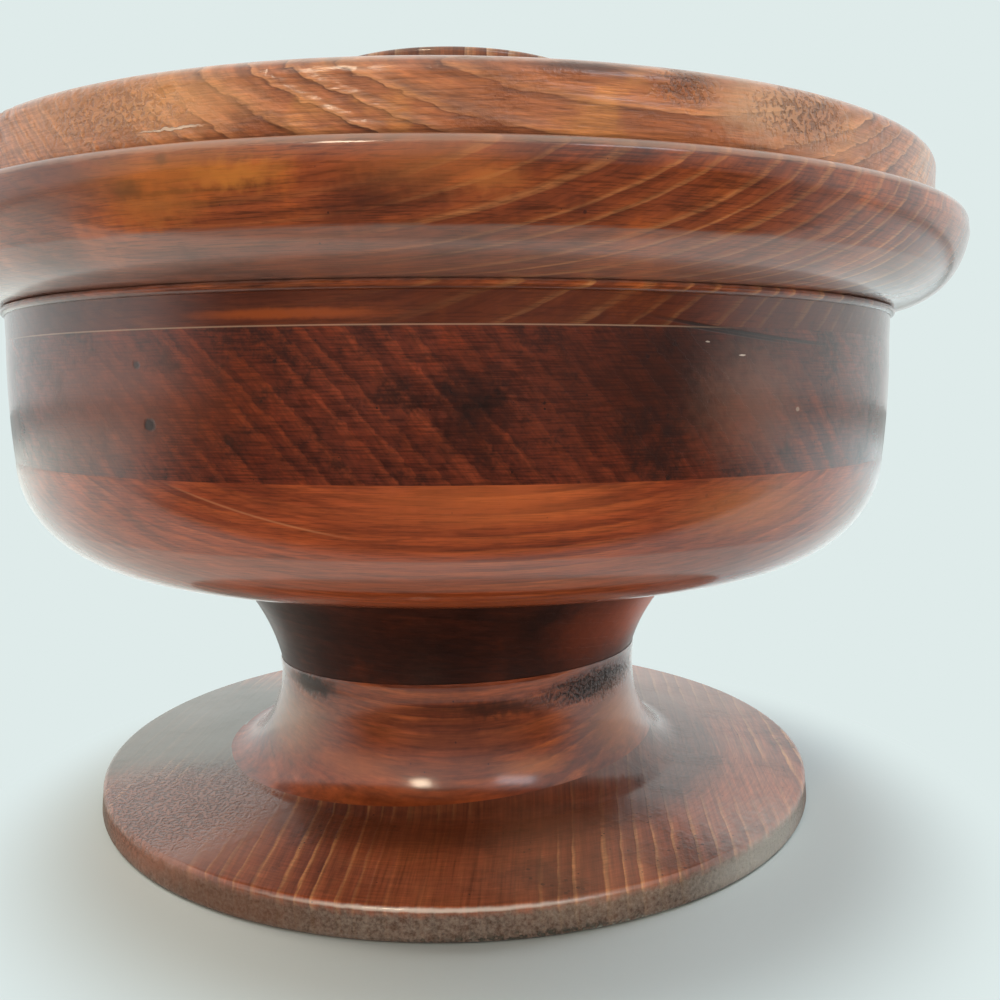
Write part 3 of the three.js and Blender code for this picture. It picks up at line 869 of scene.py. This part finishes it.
# Lid: a board with a spigot, a knob held by a screw from below
lid = {
    "radius": 84.2, "lowerRounding": 1.8, "upperRounding": 2.2, "clearance": 0.75, "spigotRounding": 1.5,
    "boreRadius": 2.25, "headDepth": 2, "knobRadius": 27.1, "knobEdge": 5.5, "knobRounding": 0.8,
    "crown": 0.6, "neckRadius": 13.5, "neckHeight": 5.2, "knobBase": 18.5, "knobBand": 1.2,
    "pilotDepth": 14, "pilotTip": 4,
}
lidWood = {
    "grainTurn": 15, "pith": (-420, 440), "ringGap": 2.2, "seed": 9.3, "fray": 1.1, "wander": 6,
    "rings": [
        (0, "#613420"), (1, "#613420"), (0.12, "#9b5833"), (0.3, "#ab633d"), (0.75, "#bb7346"),
        (0.95, "#d38f5e")],
    "middle": "#b97045", "faintest": 0.5, "strongest": 0, "latheFrom": 0.36, "latheTo": 0.56,
    "latheDark": 0.68, "latheLight": 1.12, "latheDepth": 0.05, "endGrain": "#b9794b", "endAmount": 0.5,
    "paleStain": "#dd934c", "paleAmount": 0.5, "darkStain": "#864725", "darkAmount": 0.6, "cloudSize": 15,
    "tornDepth": 0.4, "ringDepth": 0.12, "coatBump": 0.75, "gloss": 0.2,
    "bands": [
        # Pale ring at the top arris: painted highlight of the pale surroundings
        ("radius", 82.4, 83.6, 0.5, 0.3, "#e2c8b4", 0.35),
        # Dark line in the groove where the lid sits on the rim: painted shade, standing for the shadow gap
        # under the lid
        ("height", rimTop - 1, rimTop + 0.9, 0.8, 0.4, "#2a140c", 0.75),
    ],
    "marks": [
        # Paler places on the lid's edge: partly the wood's own tone, partly painted highlights
        ((44, -72, 107), (20, 8), "#dfa276", 0.45, 0.6, 0.2),
        ((-42, -73, 108), (22, 7), "#e3a26c", 0.4, 0.6, 0.2),
        ((-31, -78, 107), (14, 5), "#f4b47c", 0.35, 0.6, 0.2),
        ((35, -76, 108), (10, 5), "#f6c79c", 0.35, 0.6, 0.2),
        ((42, -73, 108), (12, 4.5), "#84583e", 0.75, 1.2, 0.2, -0.35, 0.3, True),
        ((26, -80, 109), (6, 3), "#7a4a2e", 0.6, 1.2, 0.2, -0.3, 0, True),
        ((-40, -74, 107), (16, 5), "#8a5534", 0.5, 1, 0.2, -0.25, 0, True),
        ((14, -83, 110.4), (9, 0.9), "#4a2818", 0.7, 0.8, 0.2),
        ((-32, -78, 104.6), (5, 0.22), "#f0d8c0", 0.75, 4, 0.55, 0.2),
    ],
}
knobWood = {
    "grainTurn": 90, "pith": (-260, 110), "ringGap": 4.6, "seed": 4.6,
    "rings": [(0, "#6e381c"), (1, "#6e381c"), (0.5, "#a26540"), (0.8, "#cf9a6c"), (0.95, "#dfb48e")],
    "middle": "#a26540", "faintest": 0.3, "strongest": 0, "endGrain": "#8e5733", "endAmount": 0.3,
    "paleStain": "#dfac76", "darkStain": "#572d18", "cloudSize": 12,
}


def lidOutline():
    low, top, rest, radius, bore = spigotEnd, lidTop, rimTop, lid["radius"], lid["boreRadius"]
    spigot = bowl["radius"] - bowl["wall"] - lid["clearance"]
    nose, lower, upper = lid["spigotRounding"], lid["lowerRounding"], lid["upperRounding"]
    head = bore + lid["headDepth"]
    return joined(
        face([(head, low), (spigot - nose, low)], 1, 4),
        face(quarter(spigot, low, nose, 270, 10)),
        face([(spigot, low + nose), (spigot, rest), (radius - lower, rest)], 1, 1.2),
        face(quarter(radius, rest, lower, 270, 10)),
        face([(radius, rest + lower), (radius, top - upper)], 1, 0.45),
        face(quarter(radius, top, upper, 0, 14)),
        face([(radius - upper, top), (bore, top)], 1, 3.2),
        face([(bore, top), (bore, low + lid["headDepth"]), (head, low)], 0))


def knobOutline():
    low, radius, rounding, bore = lidTop, lid["knobRadius"], lid["knobRounding"], lid["boreRadius"]
    neck, foot, neckLevel = lid["neckRadius"], lid["knobBase"], low + lid["neckHeight"]
    crownLevel, pilotEnd = knobTop - lid["crown"], low + lid["pilotDepth"]
    underHead = crownLevel - lid["knobEdge"]
    inside = face([(0, pilotEnd), (bore, pilotEnd - lid["pilotTip"]), (bore, low), (foot, low)], 0)
    band = face([(foot, low), (foot, low + lid["knobBand"])], 1, 0.5)
    cove = face(arc(foot, neckLevel, foot - neck, lid["neckHeight"] - lid["knobBand"], 270, 180, 16))
    spread = face(arc(radius, neckLevel, radius - neck, underHead - neckLevel, 180, 90, 24))
    edge = face([(radius, underHead), (radius, crownLevel - rounding)], 1, 0.5)
    rounded = face(quarter(radius, crownLevel, rounding, 0, 8))
    crown = face(arc(0, crownLevel, radius - rounding, lid["crown"], 0, 90, 24))
    return joined(inside, band, cove, spread, edge, rounded, crown)


tearing = {"Tear Depth": 0.35 * mm, "Tear Size": 1.3 * mm, "Grain Turn": math.radians(15), "Seed": 4.0}
lidBoard = turnPiece("lidBoard", lidOutline(), stainedPine("lid", lidWood), Steps=720, **tearing)
knob = turnPiece("knob", knobOutline(), stainedPine("knob", knobWood), Steps=240)

# Hidden fixings: a beech dowel across the waist, and a brass screw up through the lid into the knob
fixings = {
    "dowelRadius": 6, "dowelLength": 28, "dowelChamfer": 1, "screwLength": 32, "screwTip": 4,
    "tipBend": (0.75, 1.6),  # share of the radius, and rise, where the tip gets blunter
    "shankRadius": 2.1, "headRadius": 3.95, "headDepth": 1.85, "headEdge": 0.1, "threadStart": 12,
    "threadPitch": 1.8,
    "threadShare": 0.3,  # of the radius
    "threadRunIn": 1.5,
    "crispBend": 35,  # edges that bend more than this stay crisp
    "slotWidth": 1.1, "slotLength": 10, "slotDepth": 1,
}


# Planed beech, bare: pale pinkish brown, with short darker flecks along the grain
def bareBeech():
    material, add = emptied(bpy.data.materials.new("beech, bare, planed round"))
    place = add("TexCoord").outputs
    along = add("VectorMath MULTIPLY", [place["Object"], (1800, 1800, 220)])
    flecks = add("TexNoise", [along, 1, 3])
    fleck = add("MapRange", [flecks, 0.55, 0.68, 0, 0.7])
    broad = add("TexNoise", [along, 0.15, 2])
    tone = add("Mix RGBA", [broad, "#bf9468", "#d8b183"])
    colour = add("Mix RGBA", [fleck, tone, "#9a6b42"])
    bump = add("Bump", {"Strength": 0.6, "Distance": 0.03 * mm, "Height": flecks})
    shader = add("BsdfPrincipled", {"Base Color": colour, "Roughness": 0.68, "Normal": bump})
    add("OutputMaterial", [shader])
    return material


# Turned brass: yellow metal with brown tarnish in patches and fine turning marks
def tarnishedBrass():
    material, add = emptied(bpy.data.materials.new("brass, turned, lightly tarnished"))
    place = add("TexCoord").outputs
    around = add("VectorMath MULTIPLY", [place["Object"], (300, 300, 9000)])  # fine lines round the axis
    marks = add("TexNoise", [around, 1, 2])
    patches = add("TexNoise", [place["Object"], 420, 4])
    tarnish = add("MapRange", [patches, 0.48, 0.68, 0, 0.8])
    colour = add("Mix RGBA", [tarnish, "#c9a25c", "#7a5a30"])
    rough = add("MapRange", [patches, 0.3, 0.7, 0.28, 0.55])
    bump = add("Bump", {"Strength": 0.5, "Distance": 0.02 * mm, "Height": marks})
    brass = {"Base Color": colour, "Metallic": 1.0, "Roughness": rough, "Normal": bump}
    shader = add("BsdfPrincipled", brass)
    add("OutputMaterial", [shader])
    return material


# Geometry Nodes: cut a helical thread into a turned shank, and a driver slot into its head
def makeThreadTree():
    sizes = ("Level", "Thread Start", "Pitch", "Share", "Slot Width", "Slot Length", "Slot Depth")
    tree, add = newTree("thread and slot a screw", [
        ("Blank", "Geometry", None), *[(size, "Float", None) for size in sizes],
        ("Material", "Material", None)])
    values = add("NodeGroupInput").outputs
    position = add("InputPosition")
    split = add("SeparateXYZ", [position]).outputs
    angle = add("Math ARCTAN2", [split["Y"], split["X"]])
    turns = add("Math DIVIDE", [angle, 2 * math.pi])
    height = add("Math SUBTRACT", [split["Z"], values["Level"]])
    climb = add("Math DIVIDE", [height, values["Pitch"]])
    phase = add("Math SUBTRACT", [climb, turns])
    wave = add("Math PINGPONG", [phase, 0.5])
    groove = add("MapRange", [wave, 0.08, 0.42])
    later = add("Math ADD", [values["Thread Start"], fixings["threadRunIn"] * mm])
    begun = add("MapRange", [height, values["Thread Start"], later])
    cut = add("Math MULTIPLY", [groove, begun])
    share = add("Math MULTIPLY", [cut, values["Share"]])
    inward = add("VectorMath MULTIPLY", [position, (-1, -1, 0)])
    offset = add("VectorMath SCALE", [inward, share])
    threaded = add("SetPosition", {"Geometry": values["Blank"], "Offset": offset})
    twice = add("Math MULTIPLY", [values["Slot Depth"], 2])
    slotSize = add("CombineXYZ", [values["Slot Width"], values["Slot Length"], twice])
    block = add("MeshCube", [slotSize])
    lift = add("CombineXYZ", {"Z": values["Level"]})
    placed = add("Transform", {"Geometry": block, "Translation": lift})
    slotted = add("MeshBoolean", {"Mesh 1": threaded, "Mesh 2": placed}, operation="DIFFERENCE")
    finishTree(add, slotted, fixings["crispBend"], values["Material"])
    return tree


def dowelOutline():
    radius, chamfer, half = fixings["dowelRadius"], fixings["dowelChamfer"], fixings["dowelLength"] / 2
    low, high, inner = waistSeam - half, waistSeam + half, radius - chamfer
    side = face([(inner, low), (radius, low + chamfer), (radius, high - chamfer), (inner, high)], 0, 1)
    return joined(face([(0, low), (inner, low)], 0, 1.5), side, face([(inner, high), (0, high)], 0, 1.5))


def screwOutline():
    low, shank, head = spigotEnd, fixings["shankRadius"], fixings["headRadius"]
    narrow, rise = fixings["tipBend"]
    neck, tip = (shank, low + fixings["headDepth"]), (0, low + fixings["screwLength"])
    shoulder = low + fixings["screwLength"] - fixings["screwTip"]
    return joined(
        face([(0, low), (head, low)], 0, 0.8),
        face([(head, low), (head, low + fixings["headEdge"]), neck], 0, 0.4, 0.05),
        face([neck, (shank, shoulder), (shank * narrow, shoulder + rise), tip], 0, 0.15, 0.05))


dowel = turnPiece("waistDowel", dowelOutline(), bareBeech(), Steps=96)
blank = turnPiece("screwBlank", screwOutline(), tarnishedBrass(), Steps=64)
screw = grow("knobScrew", blank.data, makeThreadTree(), {
    "Level": spigotEnd * mm, "Thread Start": fixings["threadStart"] * mm,
    "Pitch": fixings["threadPitch"] * mm, "Share": fixings["threadShare"],
    "Slot Width": fixings["slotWidth"] * mm, "Slot Length": fixings["slotLength"] * mm,
    "Slot Depth": fixings["slotDepth"] * mm, "Material": blank.data.materials[0]})
print("dowel and screw made")

for piece, body, node, slot in (
    (foot, "bowl", "foot_disc", "foot_board"),
    (lowerStem, "bowl", "stem_lower", "lower_stem_board"),
    (upperStem, "bowl", "stem_upper", "upper_stem_board"),
    (dowel, "bowl", "stem_dowel", "dowel"),
    (base, "bowl", "bowl_base", "base_board"),
    (wall, "bowl", "bowl_wall", "wall_board"),
    (rim, "bowl", "rim_ring", "rim_board"),
    (lidBoard, "lid", "lid_board", "lid_board"),
    (knob, "lid", "lid_knob", "knob"),
    (screw, "lid", "knob_screw", "screw"),
):
    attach(piece, body)
    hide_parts(node)
